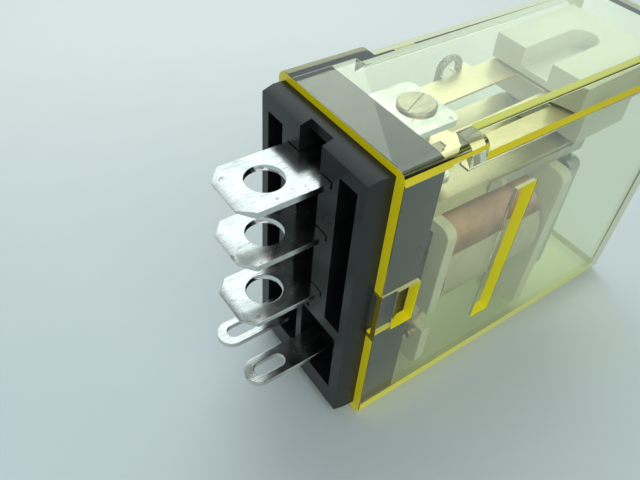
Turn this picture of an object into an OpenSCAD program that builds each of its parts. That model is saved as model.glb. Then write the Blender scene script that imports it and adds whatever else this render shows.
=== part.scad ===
// Plug-in relay with one changeover contact, lying on its narrow side.
// The blades point along -X, the closed end of the cover along +X,
// the contacts sit at the top and the coil at the bottom.
// Modules measure x from the cover's rim; placed() shifts them to the origin.

/* [Cover] */
// Length of the cover from its rim to its closed end
cover_l = 33.6; // [33.2:0.1:35]
// Width of the cover across the relay
cover_w = 14; // [14:0.1:14.6]
// Height of the cover from its coil side to its contact side
cover_h = 27.5; // [27.5:0.1:28.2]
// Thickness of the cover's walls
wall = 1; // [0.8:0.05:1]
// Radius of the cover's long edges
cover_r = 0.8; // [0.4:0.1:1]
// Where the relieved top edges begin, from the rim
relief_x = 7.2; // [6.8:0.1:8]
// Height of the relieved top edges
relief_h = 1.65; // [1.4:0.05:1.8]
// Width of the relieved top edges
relief_w = 1.35; // [1.1:0.05:1.5]
// Height of the snap windows
window_h = 4.5; // [3.6:0.1:5]
// Length of the narrow side slots
slot_h = 15.4; // [12:0.1:16]
// Width of the narrow side slots
slot_w = 2.2; // [1.6:0.1:2.6]

/* [Base] */
// How far the base stands out of the cover
base_stand = 2; // [1.6:0.1:2.6]
// How far the base reaches into the cover
base_inside = 3.9; // [3.6:0.05:4]
// Depth of the shallow bevels along the top and bottom of the base's front
lip_bevel = 0.9; // [0.6:0.05:1.2]
// Gap between the base and the cover on each side
base_gap = 0.05; // [0.03:0.01:0.1]
// Depth of the pockets in the front of the base
pocket_d = 3; // [2:0.1:3.4]

/* [Terminals] */
// Length of the blades in front of the base
blade_l = 6.5; // [5.5:0.1:7]
// Width of a contact blade
blade_w = 5.1; // [4.8:0.1:5.4]
// Thickness of the sheet that the blades are cut from
blade_t = 0.5; // [0.4:0.05:0.6]
// Diameter of the hole in a contact blade
blade_hole = 2.8; // [2.4:0.1:3]
// Height of the normally open blade
blade_no_z = 24.4; // [24.2:0.1:24.5]
// Height of the normally closed blade
blade_nc_z = 19.6; // [19.4:0.1:19.8]
// Height of the common blade
blade_common_z = 13.5; // [13.3:0.1:13.8]
// Height of the two coil blades
blade_coil_z = 6.8; // [6.6:0.1:7]
// Width of a coil blade
coil_blade_w = 2.5; // [2.2:0.1:2.7]
// Distance between the two coil blades
coil_blade_pitch = 4.4; // [4.2:0.1:4.8]

/* [Coil] */
// Height of the coil's axis
coil_z = 11.6; // [11.4:0.1:11.8]
// Radius of the copper winding
winding_r = 5.3; // [4.8:0.1:5.4]
// Half width of the yoke
yoke_half = 3.6; // [3.4:0.05:3.6]
// Thickness of the yoke
yoke_t = 1.5; // [1.2:0.1:1.6]

/* [Armature] */
// Angle that the armature opens by when the coil is off
open_angle = 2; // [1:0.1:2]
// Free play left between parts that meet, so that they never overlap
play = 0.03; // [0.02:0.01:0.05]

/* [Hidden] */
$fn = 48;

eps = 0.01;
rim_x = (blade_l + base_stand - cover_l) / 2;
face_x = -base_stand;
tip_x = face_x - blade_l;
inner_half = cover_w / 2 - wall;
inner_top = cover_h - wall;

// Cover openings
window_x = [1.7, 3.85];
window_z = [11.4, 11.4 + window_h];
slot_x = 12.2;
slot_z = 5.7;
ledge_w = 0.4;
ledge_rise = 0.25;

// The base: its part inside the cover, and the lip that stops against the rim
base_half = inner_half - base_gap;
base_z = [wall + base_gap, inner_top - base_gap];
lip_half = base_half + 0.2;
lip_z = [base_z[0], base_z[1] + 0.55];
lip_rise = 0.25;
roof_t = 0.8;
channel_half = 1.25;
channel_floor_z = 10.6;
pocket_y = [3.3, 5.15];
pocket_z = [11.5, 25.6];
recess_y = [0.35, 4.85];
recess_z = [3.6, 10.2];
recess_d = 2.2;

// The armature pivots on the end of the yoke
pivot_x = 22;

// Contacts, at the height where the coil has pulled them in
contact_x = 7.2;
plate_no_z = 25.2;
plate_end = 9;
plate_half = 2.8;
shoulder_x = 1;
button_h = 0.8;
button_r = 1.5;
head_h = 0.28;
coining_d = 0.08;
spring_t = 0.2;
moving_h = 1.4;
spring_z = plate_no_z - blade_t / 2 - button_h - play - moving_h / 2;
tip_drop = (pivot_x - contact_x) * sin(open_angle);
contact_tilt = button_r * sin(open_angle);
plate_nc_z = spring_z - moving_h / 2 - tip_drop - contact_tilt - 2 * play - button_h - blade_t / 2;

// Magnet
yoke_top = 20;
yoke_limb_x = 5.2;
flange_x = [6.8, 7.8];
flange_far_x = [20, 21.2];
flange_half = 5.6;
flange_low_z = 1.4;
tube_r = 3.7;
core_r = 3;
pole_r = 3.9;
pole_x = pivot_x + 0.04;
armature_x = pivot_x + 0.1;
armature_t = 1.4;
armature_half = 4.6;
armature_z = [4.6, 18.2];
neck_half = 3.1;
neck_top = 22.2;

// Moulded block on the armature
block_half = 4.5;
block_top = 25.9;
slab_x = [20.3, 29.8];
slab_z = 23.7;
body_x = [21.3, 27.5];
body_z = 20.7;
trough_w = 2.8;
trough_d = 1.6;
trough_end = 27;

// Contact spring: two legs joined at both ends
leg_y = [1.5, 4.3];
bridge_x = [5.6, 10];
spring_end = 24;
weld_x = [16, 17.8];
weld_y = 5.2;

// Tails of the terminals behind the base
tail_y = [4.2, 5.2];
coil_tail_x = 6.4;
common_tail_x = 5;
common_tail_z = 19;
lead_d = 0.3;

// Flexible braid, beside the far leg of the spring
braid_y = [4.4, 5.2];
braid_t = 0.6;
braid_z = 21.2;
arch_x = 15.4;
arch_r = 1.1;
foot_end = arch_x + arch_r + 0.3;
foot_z = spring_z + spring_t / 2 + play - (pivot_x - foot_end) * sin(open_angle);

module placed() {
    translate([rim_x, 0, 0]) children();
}

// A box between two corners, each axis given as [low, high]
module span(x, y, z) {
    translate([x[0], y[0], z[0]]) cube([x[1] - x[0], y[1] - y[0], z[1] - z[0]]);
}

// Extrudes a section drawn in Y and Z along X
module along_x(x0, x1) {
    translate([x0, 0, 0]) rotate([90, 0, 90]) linear_extrude(x1 - x0) children();
}

// Extrudes a section drawn in X and Z along Y
module along_y(y0, y1) {
    translate([0, y1, 0]) rotate([90, 0, 0]) linear_extrude(y1 - y0) children();
}

// A round bar from one point to another
module rod(p, q, d) {
    v = q - p;
    translate(p) rotate([0, acos(v[2] / norm(v)), atan2(v[1], v[0])]) cylinder(h = norm(v), d = d);
}

module both_sides() {
    children();
    mirror([0, 1, 0]) children();
}

// A rectangle with its lower edge on the axis and round corners
module round_rect(w, h, r) {
    translate([r - w / 2, 0]) square([w - 2 * r, h]);
    translate([-w / 2, r]) square([w, h - 2 * r]);
    for (x = [r - w / 2, w / 2 - r], y = [r, h - r]) translate([x, y]) circle(r);
}

// Turns the armature's parts from pulled in to open
module opened() {
    translate([pivot_x, 0, yoke_top]) rotate([0, -open_angle, 0])
        translate([-pivot_x, 0, -yoke_top]) children();
}

// ---- Cover ----

module relief_corner() {
    half = cover_w / 2;
    ledge_z = cover_h - relief_h;
    polygon([
        [half, ledge_z], [half - ledge_w, ledge_z + ledge_rise],
        [half - relief_w, cover_h], [half - relief_w, cover_h + 1],
        [half + 1, cover_h + 1], [half + 1, ledge_z]
    ]);
}

module cover_section() {
    difference() {
        round_rect(cover_w, cover_h, cover_r);
        relief_corner();
        mirror([1, 0]) relief_corner();
    }
}

module cavity_section(cut) {
    polygon([
        [-inner_half, wall], [inner_half, wall],
        [inner_half, inner_top - cut], [inner_half - cut, inner_top],
        [cut - inner_half, inner_top], [-inner_half, inner_top - cut]
    ]);
}

module cover() {
    color([0.93, 0.9, 0.45, 0.35]) difference() {
        union() {
            along_x(0, relief_x) round_rect(cover_w, cover_h, cover_r);
            along_x(relief_x, cover_l) cover_section();
        }
        along_x(-1, relief_x - wall) cavity_section(0.1);
        along_x(relief_x - wall - eps, cover_l - wall) cavity_section(1.25);
        both_sides() {
            span(window_x, [inner_half - 1, cover_w], window_z);
            span([-1, window_x[0] + eps], [inner_half - 1, inner_half + wall / 2], window_z);
            span([slot_x, slot_x + slot_w], [inner_half - 1, cover_w], [slot_z, slot_z + slot_h]);
        }
    }
}

// ---- Base ----

// The plug that closes the cover, and the lip in front of the rim with its
// sides slightly drafted
module base_plug() {
    b = face_x + lip_bevel;
    span([-eps, base_inside], [-base_half, base_half], base_z);
    intersection() {
        along_y(-lip_half, lip_half) polygon([
            [b, lip_z[0]], [0, lip_z[0]], [0, lip_z[1]],
            [b, lip_z[1]], [face_x, lip_z[1] - lip_rise], [face_x, lip_z[0] + lip_rise]
        ]);
        linear_extrude(cover_h) polygon([
            [face_x, -base_half], [0, -lip_half], [0, lip_half], [face_x, base_half]
        ]);
    }
}

// Wedge that snaps into a window of the cover
module latch() {
    z = [window_z[0] + 0.3, window_z[1] - 0.3];
    translate([0, 0, z[0]]) linear_extrude(z[1] - z[0]) polygon([
        [3.55, base_half - 0.2], [3.55, base_half], [2.1, base_half + 0.6],
        [1.9, base_half + 0.6], [1.9, base_half - 0.2]
    ]);
}

// Room for one blade, wider at the mouth than where it grips the blade
module blade_slot(z, half) {
    span([face_x - 1, 0], [-half - 0.1, half + 0.1], [z - blade_t / 2 - 0.08, z + blade_t / 2 + 0.08]);
    span([-eps, base_inside + 1], [-half, half], [z - blade_t / 2, z + blade_t / 2]);
}

module base() {
    half = blade_w / 2;
    plate_no_top = plate_no_z + blade_t / 2 + 0.2;
    plate_nc_top = plate_nc_z + blade_t / 2 + 0.2;
    color([0.09, 0.09, 0.1]) difference() {
        union() {
            base_plug();
            both_sides() {
                latch();
                span([base_inside - eps, yoke_limb_x + yoke_t], [yoke_half, yoke_half + 0.5], [9.5, 17.5]);
            }
            span([base_inside - eps, yoke_limb_x], [-1.5, 1.5], [3, 6]);
        }
        blade_slot(blade_no_z, half);
        blade_slot(blade_nc_z, half);
        blade_slot(blade_common_z, half);
        // Channel up the middle, with a roof behind the bevel
        span([face_x - 1, face_x + pocket_d], [-channel_half, channel_half],
            [channel_floor_z, lip_z[1] - roof_t]);
        span([face_x - 1, face_x + lip_bevel], [-channel_half, channel_half],
            [channel_floor_z, cover_h]);
        both_sides() {
            span([face_x - 1, face_x + pocket_d], pocket_y, pocket_z);
            span([face_x - 1, face_x + recess_d], recess_y, recess_z);
        }
        // The raised ends of the contact terminals leave through these
        span([shoulder_x - eps, base_inside + 1], [-plate_half, plate_half],
            [blade_no_z - blade_t / 2, plate_no_top]);
        span([shoulder_x - eps, base_inside + 1], [-plate_half, plate_half],
            [blade_nc_z - blade_t / 2, plate_nc_top]);
        // The tails of the common and coil terminals leave through these
        span([shoulder_x, base_inside + 1], [0, tail_y[1]],
            [blade_common_z - blade_t / 2, blade_common_z + blade_t / 2]);
        both_sides() span([-1, base_inside + 1],
            [coil_blade_pitch / 2 - coil_blade_w / 2, tail_y[1]],
            [blade_coil_z - blade_t / 2, blade_coil_z + blade_t / 2]);
    }
}

// ---- Terminals ----

// Outline of a contact blade with its cut corners
module contact_blade_outline(end_x) {
    half = blade_w / 2;
    cut = 1;
    difference() {
        polygon([
            [tip_x + cut, -half], [end_x, -half], [end_x, half],
            [tip_x + cut, half], [tip_x, half - cut], [tip_x, cut - half]
        ]);
        translate([tip_x + 3.05, 0]) circle(d = blade_hole);
    }
}

// Side view of a blade: coined thin at its tip
module coined_profile(z, end_x) {
    half = blade_t / 2;
    polygon([
        [tip_x, z - half + 0.17], [tip_x + 0.75, z - half], [end_x, z - half],
        [end_x, z + half], [tip_x + 0.75, z + half], [tip_x, z + half - 0.17]
    ]);
}

// Small tongue raised from a blade, which locks it behind the front of the base
module locking_lance(z) {
    along_y(-0.45, 0.45) polygon([
        [face_x + 0.5, z + blade_t / 2 - eps], [face_x + 1.7, z + blade_t / 2 - eps],
        [face_x + 1.7, z + blade_t / 2 + 0.45]
    ]);
}

module contact_blade(z, end_x) {
    intersection() {
        translate([0, 0, z - blade_t]) linear_extrude(2 * blade_t) contact_blade_outline(end_x);
        along_y(-blade_w, blade_w) coined_profile(z, end_x);
    }
    locking_lance(z);
}

// A contact terminal: blade, step up and round-cornered plate that carries a contact
module contact_terminal(z, plate_z) {
    half = blade_t / 2;
    rise_x = shoulder_x + 1.2;
    corner = 0.7;
    difference() {
        union() {
            contact_blade(z, shoulder_x + 0.4);
            along_y(-blade_w / 2, blade_w / 2) polygon([
                [shoulder_x, z - half], [shoulder_x + 0.4, z - half], [rise_x, plate_z - half],
                [rise_x, plate_z + half], [shoulder_x, z + half]
            ]);
            translate([rise_x - eps, 0, plate_z - half]) linear_extrude(blade_t) difference() {
                translate([0, -plate_half]) square([plate_end - rise_x, 2 * plate_half]);
                for (side = [-1, 1]) translate([plate_end - rise_x, side * plate_half]) difference() {
                    square(2 * corner, center = true);
                    translate([-corner, -side * corner]) circle(corner);
                }
            }
        }
        translate([contact_x, 0, plate_z - 1]) cylinder(h = 2, r = 0.8);
    }
}

module terminal_no() {
    color([0.8, 0.8, 0.79]) contact_terminal(blade_no_z, plate_no_z);
}

module terminal_nc() {
    color([0.8, 0.8, 0.79]) contact_terminal(blade_nc_z, plate_nc_z);
}

// The common blade, with a tail that turns up beside the yoke to meet the braid
module terminal_common() {
    half = blade_t / 2;
    z = blade_common_z;
    color([0.8, 0.8, 0.79]) {
        contact_blade(z, shoulder_x + 1.5);
        span([shoulder_x, shoulder_x + 1.5], [0, tail_y[1]], [z - half, z + half]);
        span([shoulder_x + 1.5 - eps, common_tail_x], tail_y, [z - half, z + half]);
        span([common_tail_x - blade_t, common_tail_x], tail_y, [z - half, common_tail_z]);
    }
}

// A coil blade: round tip, oblong hole, and a thin tail for the wire
module coil_terminal() {
    r = coil_blade_w / 2;
    y = coil_blade_pitch / 2;
    hole_r = 0.62;
    color([0.8, 0.8, 0.79]) translate([0, 0, blade_coil_z - blade_t / 2]) linear_extrude(blade_t) {
        difference() {
            union() {
                translate([tip_x + r, y]) circle(r);
                translate([tip_x + r, y - r]) square([shoulder_x + 1.5 - tip_x - r, 2 * r]);
            }
            translate([tip_x + 1.45, y]) circle(hole_r);
            translate([tip_x + 2.95, y]) circle(hole_r);
            translate([tip_x + 1.45, y - hole_r]) square([1.5, 2 * hole_r]);
        }
        translate([shoulder_x, y]) square([1.5, tail_y[1] - y]);
        translate([shoulder_x + 1.5 - eps, tail_y[0]])
            square([coil_tail_x - shoulder_x - 1.5, tail_y[1] - tail_y[0]]);
    }
}

module coil_terminal_a() {
    coil_terminal();
}

module coil_terminal_b() {
    mirror([0, 1, 0]) coil_terminal();
}

// ---- Contacts ----

// Rivet contact with its button below the plate and its closed head above
module fixed_contact() {
    half = blade_t / 2;
    rotate_extrude() polygon([
        [0, -half - button_h], [0.9, -half - button_h], [button_r, 0.18 - half - button_h],
        [button_r, -half], [0.8, -half], [0.8, half], [button_r, half],
        [button_r, half + head_h - 0.1], [button_r - 0.15, half + head_h], [0, half + head_h]
    ]);
}

module fixed_contact_no() {
    color([0.82, 0.78, 0.62]) difference() {
        translate([contact_x, 0, plate_no_z]) fixed_contact();
        // Coining line across the closed head
        translate([contact_x, 0, plate_no_z + blade_t / 2 + head_h]) rotate([0, 0, 25])
            cube([4, 0.22, 2 * coining_d], center = true);
    }
}

module fixed_contact_nc() {
    color([0.82, 0.78, 0.62]) translate([contact_x, 0, plate_nc_z]) mirror([0, 0, 1]) fixed_contact();
}

module moving_contact() {
    h = moving_h / 2;
    color([0.82, 0.78, 0.62]) opened() translate([contact_x, 0, spring_z]) rotate_extrude() polygon([
        [0, -h], [0.9, -h], [button_r, 0.12 - h], [button_r, -spring_t / 2], [0.7, -spring_t / 2],
        [0.7, spring_t / 2], [button_r, spring_t / 2], [button_r, h - 0.12], [0.9, h], [0, h]
    ]);
}

module spring_outline() {
    difference() {
        union() {
            translate([bridge_x[0] + 1.5, 0]) circle(leg_y[0] + 0.3);
            translate([bridge_x[0] + 1.5, -leg_y[0] - 0.3])
                square([bridge_x[1] - bridge_x[0] - 1.5, 2 * leg_y[0] + 0.6]);
            translate([bridge_x[1] - 1.4, -leg_y[1]])
                square([spring_end - bridge_x[1] + 1.4, 2 * leg_y[1]]);
            translate([weld_x[0], 0]) square([weld_x[1] - weld_x[0], weld_y]);
        }
        translate([bridge_x[1], -leg_y[0]]) square([slab_x[0] - bridge_x[1], 2 * leg_y[0]]);
        translate([contact_x, 0]) circle(0.7);
    }
}

module contact_spring() {
    color([0.83, 0.62, 0.28]) opened() translate([0, 0, spring_z - spring_t / 2])
        linear_extrude(spring_t) spring_outline();
}

// ---- Armature ----

module moving_block() {
    color([0.9, 0.9, 0.82]) opened() difference() {
        union() {
            span(slab_x, [-block_half, block_half], [slab_z, block_top]);
            span(body_x, [-block_half, block_half], [body_z, slab_z + eps]);
        }
        // Trough in the top, open towards the contacts
        span([slab_x[0] - 1, trough_end - trough_w / 2], [-trough_w / 2, trough_w / 2],
            [block_top - trough_d, block_top + 1]);
        translate([trough_end - trough_w / 2, 0, block_top - trough_d]) cylinder(h = 2, d = trough_w);
        // The spring and the armature are moulded in
        span([body_x[0] - 1, spring_end], [-leg_y[1], leg_y[1]],
            [spring_z - spring_t / 2, spring_z + spring_t / 2]);
        span([armature_x, armature_x + armature_t], [-neck_half, neck_half], [body_z - 1, neck_top]);
    }
}

module armature() {
    color([0.72, 0.73, 0.74]) opened() along_x(armature_x, armature_x + armature_t) {
        translate([0, armature_z[0]])
            round_rect(2 * armature_half, armature_z[1] - armature_z[0], 0.8);
        translate([-neck_half, armature_z[1] - 1]) square([2 * neck_half, neck_top - armature_z[1] + 1]);
    }
}

// Leaf on both sides of the yoke that passes behind the neck of the armature
module armature_spring() {
    x = [12.5, armature_x + armature_t + 0.35];
    z = [18.75, 19.75];
    t = 0.2;
    color([0.75, 0.66, 0.42]) {
        both_sides() difference() {
            span([x[0], x[1] + t], [yoke_half, yoke_half + t], z);
            translate([14, 0, (z[0] + z[1]) / 2]) rotate([-90, 0, 0]) cylinder(h = 10, r = 0.3);
        }
        span([x[1], x[1] + t], [-yoke_half - eps, yoke_half + eps], z);
    }
}

// ---- Magnet ----

module yoke() {
    color([0.76, 0.7, 0.5]) {
        difference() {
            union() {
                span([yoke_limb_x, pivot_x - 0.02], [-yoke_half, yoke_half],
                    [yoke_top - yoke_t, yoke_top]);
                span([yoke_limb_x, yoke_limb_x + yoke_t], [-yoke_half, yoke_half], [3, yoke_top]);
            }
            translate([yoke_limb_x - 1, 0, coil_z]) rotate([0, 90, 0]) cylinder(h = 4, r = 1.6);
        }
        // Half-sheared bosses that hold the armature spring
        both_sides() translate([14, yoke_half - 0.1, 19.25]) rotate([-90, 0, 0]) cylinder(h = 0.5, r = 0.3);
    }
}

module core() {
    color([0.7, 0.7, 0.7]) translate([0, 0, coil_z]) rotate([0, 90, 0]) {
        translate([0, 0, yoke_limb_x - 0.5]) cylinder(h = 0.5, r = 2.1);
        translate([0, 0, yoke_limb_x - eps]) cylinder(h = yoke_t + 2 * eps, r = 1.6);
        translate([0, 0, yoke_limb_x + yoke_t])
            cylinder(h = flange_far_x[1] - yoke_limb_x - yoke_t, r = core_r);
        translate([0, 0, flange_far_x[1]]) cylinder(h = pole_x - flange_far_x[1], r = pole_r);
    }
}

module flange(x, top) {
    along_x(x[0], x[1]) translate([0, flange_low_z])
        round_rect(2 * flange_half, top - flange_low_z, 1);
}

module bobbin() {
    color([0.88, 0.9, 0.84]) difference() {
        union() {
            flange(flange_x, yoke_top - yoke_t);
            flange(flange_far_x, yoke_top - yoke_t);
            translate([flange_x[0], 0, coil_z]) rotate([0, 90, 0])
                cylinder(h = flange_far_x[1] - flange_x[0], r = tube_r);
        }
        translate([flange_x[0] - 1, 0, coil_z]) rotate([0, 90, 0])
            cylinder(h = flange_far_x[1] - flange_x[0] + 2, r = core_r + 0.05);
        // Notches that let the coil's wires through
        both_sides() span([flange_x[0] - 1, flange_x[1] + eps], [4.2, 6], [6.6, 8.8]);
    }
}

module winding() {
    color([0.72, 0.38, 0.2]) translate([flange_x[1], 0, coil_z]) rotate([0, 90, 0]) difference() {
        cylinder(h = flange_far_x[0] - flange_x[1], r = winding_r);
        translate([0, 0, -1]) cylinder(h = flange_far_x[0] - flange_x[1] + 2, r = tube_r);
    }
}

// Tape round the lower part of the winding, which leaves its top bare
module coil_tape() {
    margin = 0.4;
    top = coil_z + 2.6;
    color([0.9, 0.9, 0.8, 0.6]) intersection() {
        translate([flange_x[1] + margin, 0, coil_z]) rotate([0, 90, 0]) difference() {
            cylinder(h = flange_far_x[0] - flange_x[1] - 2 * margin, r = winding_r + 0.12);
            translate([0, 0, -1]) cylinder(h = 20, r = winding_r);
        }
        span([0, 40], [-10, 10], [0, top]);
    }
}

// One end of the winding: a few turns round the tail, then the run through the flange
module coil_lead() {
    x = coil_tail_x - 1.2;
    half = blade_t / 2;
    difference() {
        span([x, x + 0.9], [tail_y[0] - lead_d, tail_y[1] + lead_d],
            [blade_coil_z - half - lead_d, blade_coil_z + half + lead_d]);
        span([x - 1, x + 2], tail_y, [blade_coil_z - half, blade_coil_z + half]);
    }
    rod([x + 0.7, 4.7, blade_coil_z + half + lead_d / 2], [flange_x[1] + 0.2, 4.45, 8.4], lead_d);
}

module coil_lead_a() {
    color([0.72, 0.38, 0.2]) coil_lead();
}

module coil_lead_b() {
    color([0.72, 0.38, 0.2]) mirror([0, 1, 0]) coil_lead();
}

// ---- Flexible braid ----

// Points along an arc drawn in X and Z
function arc(centre, r, from, to) =
    [for (i = [0:12]) let (t = from + (to - from) * i / 12) centre + r * [cos(t), sin(t)]];

function side(path, i) =
    let (d = path[min(i + 1, len(path) - 1)] - path[max(i - 1, 0)]) [-d[1], d[0]] / norm(d);

// Outline of a strip of even thickness along a path
module strip(path, half) {
    last = len(path) - 1;
    polygon(concat(
        [for (i = [0:last]) path[i] + half * side(path, i)],
        [for (i = [last:-1:0]) path[i] - half * side(path, i)]
    ));
}

// Welded to the common terminal's tail, it runs along the far wall of the cover
// and arches down on to the spring
module flexible_braid() {
    half = braid_t / 2;
    start_x = common_tail_x + half;
    r = 1.2;
    rise_x = arch_x - arch_r;
    arch_z = foot_z + 0.1;
    path = concat(
        [[start_x, 16.5]],
        arc([start_x + r, braid_z - r], r, 180, 90),
        arc([rise_x - r, braid_z + r], r, 270, 360),
        arc([arch_x, arch_z], arch_r, 180, 0),
        [[arch_x + arch_r, foot_z]]
    );
    color([0.72, 0.55, 0.4]) along_y(braid_y[0], braid_y[1]) strip(path, half);
}

placed() cover();
placed() base();
placed() terminal_no();
placed() terminal_nc();
placed() terminal_common();
placed() coil_terminal_a();
placed() coil_terminal_b();
placed() fixed_contact_no();
placed() fixed_contact_nc();
placed() moving_contact();
placed() contact_spring();
placed() moving_block();
placed() armature();
placed() armature_spring();
placed() yoke();
placed() core();
placed() bobbin();
placed() winding();
placed() coil_tape();
placed() coil_lead_a();
placed() coil_lead_b();
placed() flexible_braid();
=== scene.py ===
import math

import bpy
from mathutils import Matrix, Vector


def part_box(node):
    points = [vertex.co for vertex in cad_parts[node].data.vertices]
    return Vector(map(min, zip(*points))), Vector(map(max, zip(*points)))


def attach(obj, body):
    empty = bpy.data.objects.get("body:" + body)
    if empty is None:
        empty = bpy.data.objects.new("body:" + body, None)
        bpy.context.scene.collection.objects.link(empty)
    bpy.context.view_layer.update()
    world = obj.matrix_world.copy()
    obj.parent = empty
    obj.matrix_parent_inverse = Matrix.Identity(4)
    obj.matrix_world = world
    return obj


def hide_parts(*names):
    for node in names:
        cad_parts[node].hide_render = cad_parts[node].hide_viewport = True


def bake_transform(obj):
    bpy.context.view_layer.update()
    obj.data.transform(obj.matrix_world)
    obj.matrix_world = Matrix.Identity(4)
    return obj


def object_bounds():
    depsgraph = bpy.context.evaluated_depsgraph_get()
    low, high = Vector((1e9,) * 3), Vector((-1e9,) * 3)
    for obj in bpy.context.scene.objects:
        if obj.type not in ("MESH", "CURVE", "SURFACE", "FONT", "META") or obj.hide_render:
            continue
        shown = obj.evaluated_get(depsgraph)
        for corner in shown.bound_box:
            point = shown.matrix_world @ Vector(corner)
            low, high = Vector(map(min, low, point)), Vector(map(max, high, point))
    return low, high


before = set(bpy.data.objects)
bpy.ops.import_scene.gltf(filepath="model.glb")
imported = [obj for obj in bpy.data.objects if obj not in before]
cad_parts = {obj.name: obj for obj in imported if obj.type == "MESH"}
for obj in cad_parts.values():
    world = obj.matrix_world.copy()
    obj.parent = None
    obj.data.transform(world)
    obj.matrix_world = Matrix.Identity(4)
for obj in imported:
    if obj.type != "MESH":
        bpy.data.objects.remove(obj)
cad_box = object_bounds()
MM = 0.001

# ---- Studio ----
# A pale table top, a soft lamp behind the relay and another in front, and a dim
# room with a bright patch, which the clear cover's top and the blades mirror.
scene = bpy.context.scene
scene.view_settings.view_transform = "Standard"


def only(piece):
    """Selects this piece alone and makes it the one that operators act on."""
    bpy.ops.object.select_all(action="DESELECT")
    piece.select_set(True)
    bpy.context.view_layer.objects.active = piece


def new_material(name):
    """A new material: itself, its node tree and its Principled shader."""
    made = bpy.data.materials.new(name)
    made.use_nodes = True
    return made, made.node_tree, made.node_tree.nodes["Principled BSDF"]


def add_node(tree, kind, settings=None, **values):
    """A shader node of that kind, with its settings and its unlinked inputs."""
    made = tree.nodes.new("ShaderNode" + kind)
    for name, value in (settings or {}).items():
        setattr(made, name, value)
    for name, value in values.items():
        made.inputs[name.replace("_", " ")].default_value = value
    return made


def ramp(tree, source, stops):
    """A colour ramp over a value, given as (place, colour) stops."""
    made = add_node(tree, "ValToRGB")
    bar = made.color_ramp.elements
    while len(bar) < len(stops):
        bar.new(0.5)
    for stop, (place, colour) in zip(bar, stops):
        stop.position = place
        stop.color = (*colour, 1)
    tree.links.new(source, made.inputs["Fac"])
    return made.outputs["Color"]


bpy.ops.object.select_all(action="DESELECT")
bpy.ops.mesh.primitive_plane_add(size=3, location=(0, 0, cad_box[0].z - 0.02 * MM))
floor = bpy.context.object
floor.name = "studio_floor"
bpy.ops.object.transform_apply(location=True)
# The paper is painted darker towards the near side, a painted falloff of the lamps' light, with a faint
# random mottle over it
paper, paper_tree, paper_shader = new_material("Pale paper, painted falloff")
paper_place = add_node(paper_tree, "TexCoord")
paper_noise = add_node(paper_tree, "TexNoise", Scale=160.0, Detail=5.0)
paper_tree.links.new(paper_place.outputs["Object"], paper_noise.inputs["Vector"])
paper_painted_falloff = add_node(paper_tree, "VectorMath", {"operation": "DOT_PRODUCT"})
paper_painted_falloff.inputs[1].default_value = (4.0, 9.0, 0.0)
paper_tree.links.new(paper_place.outputs["Object"], paper_painted_falloff.inputs[0])
paper_mottle_and_falloff = add_node(paper_tree, "Math", {"operation": "MULTIPLY_ADD"})
paper_mottle_and_falloff.inputs[1].default_value = 0.12
paper_tree.links.new(paper_noise.outputs["Fac"], paper_mottle_and_falloff.inputs[0])
paper_tree.links.new(paper_painted_falloff.outputs["Value"], paper_mottle_and_falloff.inputs[2])
paper_tree.links.new(
    ramp(paper_tree, paper_mottle_and_falloff.outputs[0], [(0.0, (0.60, 0.68, 0.70)), (0.62, (0.80, 0.85, 0.84))]),
    paper_shader.inputs["Base Color"],
)
paper_shader.inputs["Roughness"].default_value = 0.75
floor.data.materials.append(paper)

# The room: even and dim all round, with one soft bright patch behind the relay
world = bpy.data.worlds.new("Soft room")
world.use_nodes = True
room = world.node_tree
room_place = add_node(room, "TexCoord")
towards = add_node(room, "VectorMath", {"operation": "DOT_PRODUCT"})
towards.inputs[1].default_value = Vector((0.55, 0.60, 0.58)).normalized()
room.links.new(room_place.outputs["Generated"], towards.inputs[0])
patch = add_node(
    room, "MapRange", {"interpolation_type": "SMOOTHSTEP"},
    From_Min=0.72, From_Max=0.98, To_Min=0.33, To_Max=1.6,
)
room.links.new(towards.outputs["Value"], patch.inputs["Value"])
room.nodes["Background"].inputs["Color"].default_value = (0.85, 0.97, 0.98, 1)
room.links.new(patch.outputs["Result"], room.nodes["Background"].inputs["Strength"])
scene.world = world

lamp_size = 140 * MM
for name, place, power, mirrored in (
    ("back_lamp", (0.02, 0.10, 0.14), 0.09, False),
    ("front_lamp", (-0.05, -0.12, 0.13), 0.11, True),
):
    bpy.ops.object.light_add(type="AREA", location=place)
    lamp = bpy.context.object
    lamp.name = name
    lamp.data.size = lamp_size
    lamp.data.energy = power
    lamp.rotation_euler = (-lamp.location).to_track_quat("-Z", "Y").to_euler()
    lamp.visible_glossy = mirrored

bpy.ops.object.camera_add(location=(-0.034453, -0.026747, 0.050908))
camera = bpy.context.object
forward = Vector((0.4407, 0.5500, -0.7094)).normalized()
upward = Vector((0.3708, 0.6082, 0.7018))
rightward = forward.cross(upward).normalized()
upward = rightward.cross(forward)
camera.rotation_euler = Matrix((rightward, upward, -forward)).transposed().to_euler()
camera.data.lens = 35.7
camera.data.sensor_width = 36
camera.data.clip_start = 0.001
scene.camera = camera

# ---- Base ----
# Black glass-filled moulding that carries all the terminals. It plugs into the
# cover, and two latches on its sides snap into the cover's windows.


def even_shading(piece):
    """Lets each rounded edge take its shading from the large faces beside it."""
    only(piece)
    even = piece.modifiers.new("Even shading", "WEIGHTED_NORMAL")
    even.keep_sharp = True
    even.weight = 100
    bpy.ops.object.modifier_apply(modifier=even.name)


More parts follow.
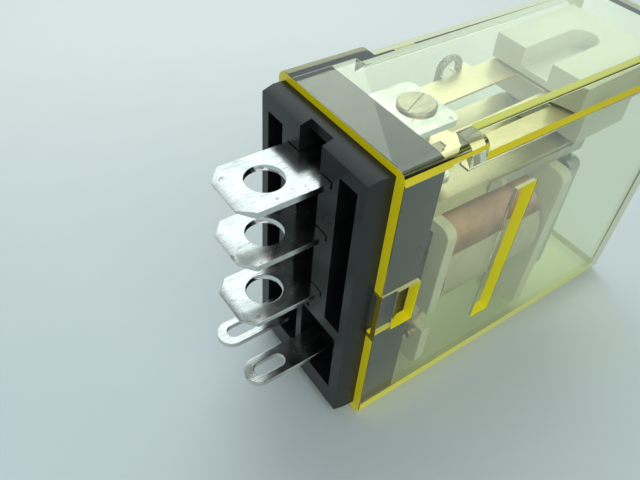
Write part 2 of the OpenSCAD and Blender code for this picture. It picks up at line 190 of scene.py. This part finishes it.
def finished_copy(node, rounding, segments=2, smooth=32, edge_slot=-1):
    """A merged copy of a CAD node with its edges rounded, which stands for the node."""
    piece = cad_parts[node].copy()
    piece.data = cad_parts[node].data.copy()
    piece.name = node + "_finished"
    scene.collection.objects.link(piece)
    piece.parent = None
    piece.data.materials.clear()
    only(piece)
    bpy.ops.object.mode_set(mode="EDIT")
    bpy.ops.mesh.select_all(action="SELECT")
    bpy.ops.mesh.remove_doubles(threshold=2e-6)
    bpy.ops.mesh.dissolve_limited(angle_limit=math.radians(0.5))
    bpy.ops.object.mode_set(mode="OBJECT")
    bevel = piece.modifiers.new("Rounded edges", "BEVEL")
    bevel.width = rounding
    bevel.segments = segments
    bevel.limit_method = "ANGLE"
    bevel.angle_limit = math.radians(25)
    bevel.material = edge_slot
    bpy.ops.object.modifier_apply(modifier=bevel.name)
    bpy.ops.object.shade_smooth_by_angle(angle=math.radians(smooth))
    even_shading(piece)
    return piece


def settle(piece, body, slot, *nodes):
    """Puts a finished piece on its body, in place of its CAD nodes; its slot is not used."""
    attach(piece, body)
    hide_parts(*nodes)


def new_group(name, inputs, outputs):
    """A node group with float inputs given as name: value, and float outputs."""
    group = bpy.data.node_groups.new(name, "ShaderNodeTree")
    for label, value in inputs.items():
        socket = group.interface.new_socket(label, in_out="INPUT", socket_type="NodeSocketFloat")
        socket.default_value = value
    for label in outputs:
        group.interface.new_socket(label, in_out="OUTPUT", socket_type="NodeSocketFloat")
    return group, group.nodes.new("NodeGroupInput"), group.nodes.new("NodeGroupOutput")


def use_group(tree, group, **values):
    """That node group in a material, with its unlinked inputs."""
    made = tree.nodes.new("ShaderNodeGroup")
    made.node_tree = group
    for name, value in values.items():
        made.inputs[name.replace("_", " ")].default_value = value
    return made


def bump(tree, height, shader, strength, distance):
    """Raises a shader's surface where the height is large."""
    made = add_node(tree, "Bump", Strength=strength, Distance=distance)
    tree.links.new(height, made.inputs["Height"])
    tree.links.new(made.outputs["Normal"], shader.inputs["Normal"])


# Moulded grain: a fine spark-eroded texture and the slow tone changes under it
grain, grain_in, grain_out = new_group(
    "Moulded grain", {"Grain Size": 0.05, "Patch Size": 2.0}, ["Height", "Tone"]
)
grain_place = add_node(grain, "TexCoord")
for label, socket, detail in (("Height", "Grain Size", 3.0), ("Tone", "Patch Size", 4.0)):
    per_metre = add_node(grain, "Math", {"operation": "DIVIDE"})
    per_metre.inputs[0].default_value = 500.0
    grain.links.new(grain_in.outputs[socket], per_metre.inputs[1])
    noise = add_node(grain, "TexNoise", Detail=detail, Roughness=0.6)
    grain.links.new(grain_place.outputs["Object"], noise.inputs["Vector"])
    grain.links.new(per_metre.outputs[0], noise.inputs["Scale"])
    grain.links.new(noise.outputs["Fac"], grain_out.inputs[label])


def value_range(tree, source, low, high, start=0.3, end=0.7):
    """Spreads a mask over a range of values."""
    made = add_node(tree, "MapRange", From_Min=start, From_Max=end, To_Min=low, To_Max=high)
    tree.links.new(source, made.inputs["Value"])
    return made.outputs["Result"]


def moulding(name, dark, light, rough, relief, patch=2.0):
    """Moulded plastic with a fine grain, between two tones and two roughnesses."""
    made, tree, shader = new_material(name)
    surface = use_group(tree, grain, Patch_Size=patch)
    tree.links.new(
        ramp(tree, surface.outputs["Tone"], [(0.3, dark), (0.7, light)]), shader.inputs["Base Color"]
    )
    tree.links.new(value_range(tree, surface.outputs["Tone"], *rough), shader.inputs["Roughness"])
    bump(tree, surface.outputs["Height"], shader, relief, 0.02 * MM)
    return made, tree, shader


black_plastic, _, black_shader = moulding(
    "Black moulding", (0.004, 0.005, 0.005), (0.010, 0.013, 0.013), (0.26, 0.40), 0.2
)
black_shader.inputs["Specular IOR Level"].default_value = 0.38
base = finished_copy("base", 0.09 * MM)

# The top of the lip falls a little towards the cover's rim
rim_x, lip_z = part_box("cover")[0].x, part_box("base")[1].z
lip_fall = 0.08 * MM
lip_reach = 0.12 * MM
only(base)
for corner in base.data.vertices:
    corner.select = abs(corner.co.x - rim_x) < lip_reach and corner.co.z > lip_z - lip_reach
bpy.ops.object.mode_set(mode="EDIT")
bpy.ops.transform.translate(value=(0, 0, -lip_fall))
bpy.ops.object.mode_set(mode="OBJECT")
even_shading(base)
base.data.materials.append(black_plastic)
settle(base, "housing", "black_moulding", "base")

# ---- Terminals ----
# Blades stamped from half-millimetre brass sheet and tinned. The tips are coined
# thin, the holes take a soldered wire, and each is pushed into the base from behind.

# Fine scratches along and across the sheet, from handling and drawing
scratches, scratches_in, scratches_out = new_group("Fine scratches", {"Spacing": 0.2, "Turn": 0.4}, ["Mask"])
scratch_place = add_node(scratches, "TexCoord")
layers = []
for turn, stretch in ((0.0, 14.0), (1.1, 22.0)):
    angle = add_node(scratches, "Math", {"operation": "ADD"})
    angle.inputs[1].default_value = turn
    scratches.links.new(scratches_in.outputs["Turn"], angle.inputs[0])
    vector = add_node(scratches, "CombineXYZ")
    scratches.links.new(angle.outputs[0], vector.inputs["Z"])
    turned = add_node(scratches, "Mapping")
    scratches.links.new(vector.outputs[0], turned.inputs["Rotation"])
    scratches.links.new(scratch_place.outputs["Object"], turned.inputs["Vector"])
    turned.inputs["Scale"].default_value = (1 / stretch, 1, 1)
    per_metre = add_node(scratches, "Math", {"operation": "DIVIDE"})
    per_metre.inputs[0].default_value = 1000.0
    scratches.links.new(scratches_in.outputs["Spacing"], per_metre.inputs[1])
    noise = add_node(scratches, "TexNoise", Detail=2.0, Distortion=0.4)
    scratches.links.new(turned.outputs["Vector"], noise.inputs["Vector"])
    scratches.links.new(per_metre.outputs[0], noise.inputs["Scale"])
    line = add_node(scratches, "MapRange", From_Min=0.58, From_Max=0.66)
    scratches.links.new(noise.outputs["Fac"], line.inputs["Value"])
    layers.append(line.outputs["Result"])
both = add_node(scratches, "Math", {"operation": "MAXIMUM"})
scratches.links.new(layers[0], both.inputs[0])
scratches.links.new(layers[1], both.inputs[1])
scratches.links.new(both.outputs[0], scratches_out.inputs["Mask"])


def metal(name, dull, bright, rough, spacing=0.2, turn=0.4, patch=1.2, relief=0.1, marked=0.75):
    """Bare or plated metal with patches, fine scratches and a little grain."""
    made, tree, shader = new_material(name)
    shader.inputs["Metallic"].default_value = 1.0
    surface = use_group(tree, grain, Patch_Size=patch, Grain_Size=0.08)
    marks = use_group(tree, scratches, Spacing=spacing, Turn=turn)
    tone = ramp(tree, surface.outputs["Tone"], [(0.32, dull), (0.62, bright)])
    darker = add_node(tree, "MixRGB", {"blend_type": "MULTIPLY"})
    darker.inputs["Color2"].default_value = (marked, marked, 0.98 * marked, 1)
    tree.links.new(marks.outputs["Mask"], darker.inputs["Fac"])
    tree.links.new(tone, darker.inputs["Color1"])
    tree.links.new(darker.outputs["Color"], shader.inputs["Base Color"])
    dulled = add_node(tree, "Math", {"operation": "MULTIPLY_ADD"})
    dulled.inputs[1].default_value = 0.4 * (1 - marked)
    tree.links.new(marks.outputs["Mask"], dulled.inputs[0])
    tree.links.new(value_range(tree, surface.outputs["Tone"], *rough), dulled.inputs[2])
    tree.links.new(dulled.outputs[0], shader.inputs["Roughness"])
    mixed = add_node(tree, "Math", {"operation": "SUBTRACT"})
    tree.links.new(surface.outputs["Height"], mixed.inputs[0])
    tree.links.new(marks.outputs["Mask"], mixed.inputs[1])
    bump(tree, mixed.outputs[0], shader, relief, 0.006 * MM)
    return made


def stain(metal_finish, colour, size):
    """Adds small stains, as left by handling and soldering, here and there on a metal."""
    tree = metal_finish.node_tree
    base_colour = tree.nodes["Principled BSDF"].inputs["Base Color"]
    stains = use_group(tree, grain, Patch_Size=size)
    stained = add_node(tree, "MixRGB")
    stained.inputs["Color2"].default_value = (*colour, 1)
    tree.links.new(value_range(tree, stains.outputs["Tone"], 0.0, 0.75, 0.63, 0.71), stained.inputs["Fac"])
    tree.links.new(base_colour.links[0].from_socket, stained.inputs["Color1"])
    tree.links.new(stained.outputs["Color"], base_colour)


tinned = metal(
    "Tinned brass", (0.60, 0.61, 0.59), (0.80, 0.80, 0.77), (0.11, 0.21),
    spacing=0.09, turn=0.5, patch=0.8, relief=0.03, marked=0.8,
)
stain(tinned, (0.26, 0.20, 0.15), 0.4)
worn_edge = metal(
    "Worn tinned edge", (0.20, 0.18, 0.15), (0.62, 0.60, 0.55), (0.25, 0.4),
    spacing=0.08, turn=1.2, patch=0.35,
)
for node in ("terminal_no", "terminal_nc", "terminal_common", "coil_terminal_a", "coil_terminal_b"):
    blade = finished_copy(node, 0.06 * MM, edge_slot=1)
    blade.data.materials.append(tinned)
    blade.data.materials.append(worn_edge)
    settle(blade, "housing", "tinned_brass", node)

# ---- Fixed contacts ----
# Silver alloy rivets, closed over the end plates of the terminals. Their closed
# heads keep a line from the closing tool.
alloy = metal(
    "Contact alloy", (0.42, 0.38, 0.27), (0.58, 0.54, 0.41), (0.36, 0.5),
    spacing=0.12, turn=1.1, patch=0.6,
)
for node in ("fixed_contact_no", "fixed_contact_nc"):
    rivet = finished_copy(node, 0.05 * MM)
    rivet.data.materials.append(alloy)
    settle(rivet, "housing", "contact_alloy", node)

# ---- Yoke and core ----
# The yoke is bent from soft steel strip, zinc plated and yellow passivated. The
# core is a turned soft iron bar, nickel plated and riveted into the yoke.
zinc = metal(
    "Yellow zinc plate", (0.80, 0.72, 0.46), (0.90, 0.84, 0.60), (0.38, 0.50),
    spacing=0.12, turn=0.0, patch=2.0, marked=0.92,
)
yoke = finished_copy("yoke", 0.12 * MM)
yoke.data.materials.append(zinc)
settle(yoke, "housing", "zinc_plated_steel", "yoke")
nickel = metal(
    "Nickel plate", (0.50, 0.51, 0.48), (0.62, 0.63, 0.60), (0.30, 0.42),
    turn=1.57, patch=2.0, marked=0.9,
)
core = finished_copy("core", 0.12 * MM)
core.data.materials.append(nickel)
settle(core, "housing", "nickel_plated_steel", "core")

# ---- Bobbin ----
# Natural coloured moulding with two square flanges and a tube, on which the coil
# is wound. It slides over the core before that is riveted.
bobbin_plastic, _, bobbin_shader = moulding(
    "Natural moulding", (0.60, 0.64, 0.53), (0.70, 0.74, 0.64), (0.34, 0.46), 0.2
)
bobbin_shader.inputs["Subsurface Weight"].default_value = 0.3
bobbin_shader.inputs["Subsurface Radius"].default_value = (0.6 * MM, 0.5 * MM, 0.4 * MM)
bobbin = finished_copy("bobbin", 0.12 * MM)
bobbin.data.materials.append(bobbin_plastic)
settle(bobbin, "housing", "bobbin_moulding", "bobbin")

# ---- Winding ----
# Enamelled copper wire in even layers. The outer layer is made turn by turn.
winding_low, winding_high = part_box("winding")
turn_pitch = 0.17 * MM
turn_count = int((winding_high.x - winding_low.x) / turn_pitch)
turn_r = turn_pitch / 2
turn_swell = 1.06
outer_r = (winding_high.z - winding_low.z) / 2
axis_z = (winding_high.z + winding_low.z) / 2
bpy.ops.object.select_all(action="DESELECT")
bpy.ops.mesh.primitive_torus_add(
    major_radius=outer_r - turn_r, minor_radius=turn_r * turn_swell, major_segments=72, minor_segments=6,
    location=(winding_low.x + turn_r, 0, axis_z), rotation=(0, math.pi / 2, 0),
)
winding = bpy.context.object
winding.name = "winding_turns"
bpy.ops.object.transform_apply(location=True, rotation=True)
turns = winding.modifiers.new("Turns", "ARRAY")
turns.use_relative_offset = False
turns.use_constant_offset = True
turns.constant_offset_displace = (turn_pitch, 0, 0)
turns.count = turn_count
bpy.ops.object.modifier_apply(modifier=turns.name)
bpy.ops.object.shade_smooth()
copper = metal(
    "Enamelled copper", (0.46, 0.29, 0.20), (0.62, 0.43, 0.31), (0.28, 0.4),
    spacing=0.5, turn=1.57, patch=0.9, marked=0.9,
)
winding.data.materials.append(copper)
settle(winding, "housing", "enamelled_copper", "winding")

# ---- Coil tape ----
# Thin milky film wrapped round the lower part of the winding, with the turns
# showing through as faint ridges.
film, film_tree, film_shader = new_material("Milky film")
film_place = add_node(film_tree, "TexCoord")
film_bands = add_node(
    film_tree, "TexWave", {"bands_direction": "X"}, Scale=1850.0, Distortion=0.6, Detail=1.0
)
film_tree.links.new(film_place.outputs["Object"], film_bands.inputs["Vector"])
film_tone = ramp(film_tree, film_bands.outputs["Fac"], [(0.1, (0.42, 0.40, 0.30)), (0.9, (0.56, 0.55, 0.44))])
film_tree.links.new(film_tone, film_shader.inputs["Base Color"])
film_surface = use_group(film_tree, grain, Patch_Size=1.5)
film_roughness = value_range(film_tree, film_surface.outputs["Tone"], 0.25, 0.45)
film_tree.links.new(film_roughness, film_shader.inputs["Roughness"])
bump(film_tree, film_bands.outputs["Fac"], film_shader, 0.3, 0.02 * MM)
tape = finished_copy("coil_tape", 0.03 * MM)
tape.data.materials.append(film)
settle(tape, "housing", "coil_tape", "coil_tape")

# ---- Coil leads ----
# The two ends of the winding, wrapped three times round the coil terminals' tails
# and soldered there.
lead_d = 0.3 * MM
tail_half_t = 0.25 * MM
lead_turns, turn_steps = 3, 20
turn_advance = 0.8 * lead_d
lead_sag = 0.25 * lead_d
lead_inward = 0.947


def wires(name, runs, thickness):
    """Wires along lists of points, joined in one mesh."""
    drawn = bpy.data.curves.new(name, "CURVE")
    drawn.dimensions = "3D"
    drawn.bevel_depth = thickness / 2
    drawn.bevel_resolution = 1
    drawn.use_fill_caps = True
    for points in runs:
        line = drawn.splines.new("POLY")
        line.points.add(len(points) - 1)
        for place, point in zip(line.points, points):
            place.co = (*point, 1)
    piece = bpy.data.objects.new(name, drawn)
    scene.collection.objects.link(piece)
    only(piece)
    bpy.ops.object.convert(target="MESH")
    bpy.ops.object.shade_smooth()
    return piece


def rounded(value):
    """A cosine or sine drawn towards its limits, which turns a circle into a soft oblong."""
    return math.copysign(math.sqrt(abs(value)), value)


for node in ("coil_lead_a", "coil_lead_b"):
    lead_low, lead_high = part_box(node)
    across = (lead_high.y - lead_low.y) / 2 - lead_d / 2
    middle_y = (lead_high.y + lead_low.y) / 2
    middle_z = lead_low.z + lead_d + tail_half_t
    route = []
    for step in range(lead_turns * turn_steps + 1):
        turned = 2 * math.pi * step / turn_steps + math.pi / 2
        route.append((
            lead_low.x + lead_d / 2 + step / turn_steps * turn_advance,
            middle_y + across * rounded(math.cos(turned)),
            middle_z + (tail_half_t + lead_d / 2) * rounded(math.sin(turned)),
        ))
    last = Vector(route[-1])
    flange_end = Vector((lead_high.x - lead_d / 2, middle_y * lead_inward, lead_high.z - lead_d / 2))
    for share in (0.25, 0.5, 0.75, 1.0):
        sag = lead_sag * math.sin(math.pi * share)
        route.append(tuple(last.lerp(flange_end, share) - Vector((0, 0, sag))))
    lead = wires(node + "_wire", [route], lead_d * 0.95)
    lead.data.materials.append(copper)
    settle(lead, "housing", "enamelled_copper", node)

# ---- Armature and moving block ----
# A flat soft iron armature, nickel plated, with the cream block moulded round its
# neck. The block carries the contact spring.
armature = finished_copy("armature", 0.12 * MM)
armature.data.materials.append(nickel)
settle(armature, "armature_unit", "nickel_plated_steel", "armature")
cream, _, cream_shader = moulding(
    "Cream moulding", (0.53, 0.57, 0.52), (0.62, 0.66, 0.61), (0.36, 0.48), 0.2
)
cream_shader.inputs["Subsurface Weight"].default_value = 0.25
cream_shader.inputs["Subsurface Radius"].default_value = (0.6 * MM, 0.5 * MM, 0.4 * MM)
block = finished_copy("moving_block", 0.15 * MM, 3)
block.data.materials.append(cream)
settle(block, "armature_unit", "white_moulding", "moving_block")

# ---- Contact spring and moving contact ----
# Spring cut from thin phosphor bronze, with a double rivet contact at its tip.
bronze = metal(
    "Spring bronze", (0.78, 0.68, 0.44), (0.88, 0.79, 0.55), (0.34, 0.46),
    spacing=0.12, turn=0.0, patch=1.5, marked=0.93,
)
spring = finished_copy("contact_spring", 0.04 * MM)
spring.data.materials.append(bronze)
settle(spring, "armature_unit", "spring_bronze", "contact_spring")
moving_contact = finished_copy("moving_contact", 0.05 * MM)
moving_contact.data.materials.append(alloy)
settle(moving_contact, "armature_unit", "contact_alloy", "moving_contact")

# ---- Armature spring ----
# Leaf of hard steel held on the yoke's sides, which passes behind the armature.
leaf_steel = metal(
    "Leaf steel", (0.50, 0.46, 0.38), (0.70, 0.66, 0.56), (0.24, 0.38),
    spacing=0.12, turn=0.0, patch=1.5, marked=0.9,
)
leaf = finished_copy("armature_spring", 0.04 * MM)
leaf.data.materials.append(leaf_steel)
settle(leaf, "housing", "spring_steel", "armature_spring")

# ---- Flexible braid ----
# Braid of fine tinned copper wires, half of them winding each way, welded to the
# common terminal's tail and to the spring.
braid_low, braid_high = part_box("flexible_braid")
braid_half_t = 0.3 * MM
braid_half_w = (braid_high.y - braid_low.y) / 2
braid_run_z = 21.2 * MM
braid_bend_r = 1.2 * MM
braid_arch_r = 1.1 * MM
strand_d = 0.13 * MM
strands_each_way = 6
strand_step = 0.14 * MM
weave_depth = 0.10
braid_foot = 0.1 * MM
lay_length = 2.2 * MM
braid_start_x = braid_low.x + braid_half_t
braid_rise_x = braid_high.x - braid_half_t - 2 * braid_arch_r
braid_arch_z = braid_high.z - braid_half_t - braid_arch_r


def bend(centre_x, centre_z, radius, start, end):
    """Points of a bend in the braid's upright plane, between two angles in degrees."""
    angles = [math.radians(start + (end - start) * step / 12) for step in range(13)]
    return [Vector((centre_x + radius * math.cos(a), 0, centre_z + radius * math.sin(a))) for a in angles]


corners = [Vector((braid_start_x, 0, braid_low.z))]
corners += bend(braid_start_x + braid_bend_r, braid_run_z - braid_bend_r, braid_bend_r, 180, 90)
corners += bend(braid_rise_x - braid_bend_r, braid_run_z + braid_bend_r, braid_bend_r, 270, 360)
corners += bend(braid_rise_x + braid_arch_r, braid_arch_z, braid_arch_r, 180, 0)
corners.append(corners[-1] - Vector((0, 0, braid_foot)))
middle_line = []
for start, end in zip(corners, corners[1:]):
    pieces = max(1, round((end - start).length / strand_step))
    middle_line += [start.lerp(end, part / pieces) for part in range(pieces)]
middle_line.append(corners[-1])

runs = []
braid_y = (braid_low.y + braid_high.y) / 2
for way in (-1, 1):
    for strand in range(strands_each_way):
        points, travelled = [], 0.0
        for number, here in enumerate(middle_line):
            ahead = middle_line[min(number + 1, len(middle_line) - 1)]
            behind = middle_line[max(number - 1, 0)]
            along = (ahead - behind).normalized()
            outward = Vector((-along.z, 0, along.x))
            travelled += (here - behind).length
            turned = way * 2 * math.pi * travelled / lay_length + 2 * math.pi * strand / strands_each_way
            weave = 1 + weave_depth * way * math.cos(strands_each_way * turned)
            sideways = (braid_half_w - 0.75 * strand_d) * math.cos(turned) * weave
            through = (braid_half_t - 0.75 * strand_d) * math.sin(turned) * weave
            points.append(here + outward * through + Vector((0, braid_y + sideways, 0)))
        runs.append(points)
braid = wires("flexible_braid_strands", runs, strand_d)
braid.data.materials.append(nickel)
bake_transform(braid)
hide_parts("flexible_braid")

# ---- Cover ----
# One-piece injection moulding in clear, faintly yellow plastic. Its cut edges get a painted
# yellow glow, painted highlights and painted shade, for light led through the plastic.
cover_low, cover_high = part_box("cover")


def clear_plastic(name, density):
    """Clear plastic that lamps shine through, tinted by the length of the way inside."""
    made, tree, shader = new_material(name)
    shader.inputs["Base Color"].default_value = (0.955, 0.985, 0.925, 1)
    shader.inputs["Transmission Weight"].default_value = 1.0
    shader.inputs["Roughness"].default_value = 0.0
    shader.inputs["IOR"].default_value = 1.5
    output = tree.nodes["Material Output"]
    absorption = add_node(tree, "VolumeAbsorption", Color=(0.86, 0.88, 0.06, 1), Density=density)
    tree.links.new(absorption.outputs[0], output.inputs["Volume"])
    through = add_node(tree, "BsdfTransparent", Color=(0.965, 0.97, 0.88, 1))
    rays = add_node(tree, "LightPath")
    mix = add_node(tree, "MixShader")
    tree.links.new(rays.outputs["Is Shadow Ray"], mix.inputs[0])
    tree.links.new(shader.outputs[0], mix.inputs[1])
    tree.links.new(through.outputs[0], mix.inputs[2])
    tree.links.new(mix.outputs[0], output.inputs["Surface"])
    return made


def painted_edge_glow(name, near, far, strength):
    """Painted glow: an emitting finish for light led through the plastic to where it comes out, in tones from
    the rim to the closed end.
    """
    made, tree, shader = new_material(name)
    surface = use_group(tree, grain, Patch_Size=1.4)
    place = add_node(tree, "TexCoord")
    parts = add_node(tree, "SeparateXYZ")
    tree.links.new(place.outputs["Object"], parts.inputs[0])
    depth = add_node(tree, "MapRange", From_Min=cover_low.x, From_Max=cover_high.x, To_Min=0.1, To_Max=0.9)
    tree.links.new(parts.outputs["X"], depth.inputs["Value"])
    uneven = add_node(tree, "Math", {"operation": "MULTIPLY_ADD"})
    uneven.inputs[1].default_value = 0.3
    tree.links.new(surface.outputs["Tone"], uneven.inputs[0])
    tree.links.new(depth.outputs["Result"], uneven.inputs[2])
    tone = ramp(tree, uneven.outputs[0], [(0.15, near), (1.05, far)])
    tree.links.new(tone, shader.inputs["Base Color"])
    tree.links.new(tone, shader.inputs["Emission Color"])
    shader.inputs["Emission Strength"].default_value = strength
    shader.inputs["Roughness"].default_value = 0.25
    return made


cover = finished_copy("cover", 0.06 * MM)
# After the clear plastic, every finish is painted light: edge strips that emit a painted yellow glow, pale
# painted light or dim painted shade
for finish in (
    clear_plastic("Clear cover plastic", 80.0),
    painted_edge_glow("Painted glow, cut edge", (0.62, 0.53, 0.002), (0.44, 0.38, 0.02), 0.25),
    painted_edge_glow("Painted glow, opening wall", (0.62, 0.56, 0.004), (0.60, 0.56, 0.03), 0.38),
    painted_edge_glow("Painted light, lower edge", (0.66, 0.58, 0.002), (0.48, 0.52, 0.20), 0.28),
    painted_edge_glow("Painted light, step edge", (0.50, 0.52, 0.03), (0.42, 0.44, 0.06), 0.16),
    painted_edge_glow("Painted shade, cut edge", (0.14, 0.11, 0.002), (0.14, 0.11, 0.002), 0.20),
    painted_edge_glow("Painted light, pale wall edge", (0.56, 0.58, 0.32), (0.54, 0.58, 0.40), 0.12),
    painted_edge_glow("Painted shade, brown wall edge", (0.26, 0.26, 0.12), (0.26, 0.26, 0.12), 0.08),
):
    cover.data.materials.append(finish)
clear, rim_painted_glow, wall_painted_glow, lower_painted_glow, step_painted_glow, rim_painted_shade, pale_painted_light, brown_painted_shade = range(8)


def cut_strip(inside, place, normal):
    """Cuts the faces that a test accepts along a plane, so that a strip can be set apart."""
    only(cover)
    for face in cover.data.polygons:
        face.select = inside(face)
    bpy.ops.object.mode_set(mode="EDIT")
    bpy.ops.mesh.select_mode(type="FACE")
    bpy.ops.mesh.bisect(plane_co=place, plane_no=normal)
    bpy.ops.object.mode_set(mode="OBJECT")


def on_plane(axis, place, reach=0.1 * MM):
    """A test for the cover's outer faces that lie on a plane square to an axis."""

    def lies_there(face):
        square = abs(face.normal[axis]) > 0.99
        outward = face.normal[axis] * place > 0
        return square and outward and abs(face.center[axis] - place) < reach

    return lies_there


# The relieved top edges start at relief_x, and the base ends inside at base_end_x
relief_x = rim_x + 7.2 * MM
base_end_x = rim_x + 3.95 * MM
step_y = cover_high.y - 1.35 * MM
step_foot_z = cover_high.z - 1.65 * MM
step_edge_y = step_y - 0.6 * MM
step_strip_z = cover_high.z - 0.2 * MM
edge_strip_y = cover_high.y - 1.05 * MM
lower_strip_z = cover_low.z + 1.7 * MM
side_strip_z = cover_high.z - 0.95 * MM
end_strip_x = cover_high.x - 1.5 * MM
end_band_y = cover_high.y - 1.3 * MM
end_band_z = (cover_low.z + 1.3 * MM, cover_high.z - 1.3 * MM)
window_shade_z = (cover_low.z + 11.0 * MM, cover_low.z + 16.3 * MM)
on_top = on_plane(2, cover_high.z)
on_end = on_plane(0, cover_high.x)
cut_strip(on_top, (relief_x, 0, 0), (1, 0, 0))
for side in (-1, 1):
    on_wall = on_plane(1, side * cover_high.y)
    on_step = on_plane(1, side * step_y)
    for height in (lower_strip_z, side_strip_z):
        cut_strip(on_wall, (0, 0, height), (0, 0, 1))
    cut_strip(on_wall, (end_strip_x, 0, 0), (1, 0, 0))
    cut_strip(lambda face: on_wall(face) and face.center.z > side_strip_z, (base_end_x, 0, 0), (1, 0, 0))
    cut_strip(lambda face: on_step(face) and face.center.z > step_foot_z, (0, 0, step_strip_z), (0, 0, 1))
    cut_strip(lambda face: on_top(face) and face.center.x > relief_x, (0, side * step_edge_y, 0), (0, 1, 0))
    cut_strip(lambda face: on_top(face) and face.center.x < relief_x, (0, side * edge_strip_y, 0), (0, 1, 0))
    cut_strip(on_end, (0, side * end_band_y, 0), (0, 1, 0))
for height in end_band_z:
    cut_strip(on_end, (0, 0, height), (0, 0, 1))
for height in window_shade_z:
    cut_strip(on_plane(0, rim_x), (0, 0, height), (0, 0, 1))
even_shading(cover)


# Each opening through the side walls: from and to along x, then along z
openings = (
    ((rim_x + 1.65 * MM, rim_x + 3.9 * MM), (11.35 * MM, 15.95 * MM)),
    ((rim_x + 12.15 * MM, rim_x + 14.45 * MM), (5.65 * MM, 21.15 * MM)),
)
in_wall_y = (cover_high.y - 0.98 * MM, cover_high.y - 0.02 * MM)

# How far out each painted glow or painted shade strip starts: at the rim, the foot of the
# step, above the base and along the lower corners
inner_wall_y = cover_high.y - 1.0 * MM
foot_strip_y = cover_high.y - 0.45 * MM
base_strip_y = cover_high.y - 0.3 * MM
lower_strip_y = cover_high.y - 0.8 * MM
base_strip_z = (side_strip_z, side_strip_z + 0.6 * MM)


def between(value, limits):
    """Whether a value lies between two limits."""
    return limits[0] < value < limits[1]


def cover_finish(face):
    """The finish of one face of the cover, from its place and the way it faces: clear plastic, or a painted
    glow, painted light or painted shade strip.
    """
    x, y, z = face.center
    away = abs(y)
    facing = face.normal
    if x < rim_x + 0.02 * MM:
        # Rim faces beside the windows get painted shade, the rest of the rim a painted glow
        beside_window = away > inner_wall_y and between(z, window_shade_z)
        return rim_painted_shade if beside_window else rim_painted_glow
    if between(away, in_wall_y) and any(between(x, wide) and between(z, high) for wide, high in openings):
        if facing.x < -0.5 or facing.z > 0.5:
            return wall_painted_glow
        # The top walls of the openings get a pale painted highlight
        return pale_painted_light if facing.z < -0.5 else clear
    if x > relief_x and abs(z - step_foot_z) < 0.26 * MM and away > foot_strip_y and facing.z > 0.4:
        return rim_painted_glow
    if x > relief_x and z > step_strip_z and between(away, (step_edge_y, step_y + 0.1 * MM)):
        return step_painted_glow if y < 0 else pale_painted_light
    # A dim brown painted shade along the far top corner near the rim
    if x < relief_x + 0.3 * MM and z > side_strip_z and y > cover_high.y - 1.1 * MM and facing.z > -0.3:
        return brown_painted_shade
    # The far end's edges get pale painted light
    if x > end_strip_x and away > cover_high.y - 0.2 * MM:
        return pale_painted_light
    if x < base_end_x and between(z, base_strip_z) and away > base_strip_y:
        return rim_painted_glow
    if z < lower_strip_z and away > lower_strip_y and abs(facing.y) > 0.3 and x < cover_high.x - 0.1 * MM:
        return lower_painted_glow
    end_border = away > end_band_y or not between(z, end_band_z)
    return pale_painted_light if on_end(face) and end_border else clear


for face in cover.data.polygons:
    face.material_index = cover_finish(face)
settle(cover, "housing", "clear_cover", "cover")
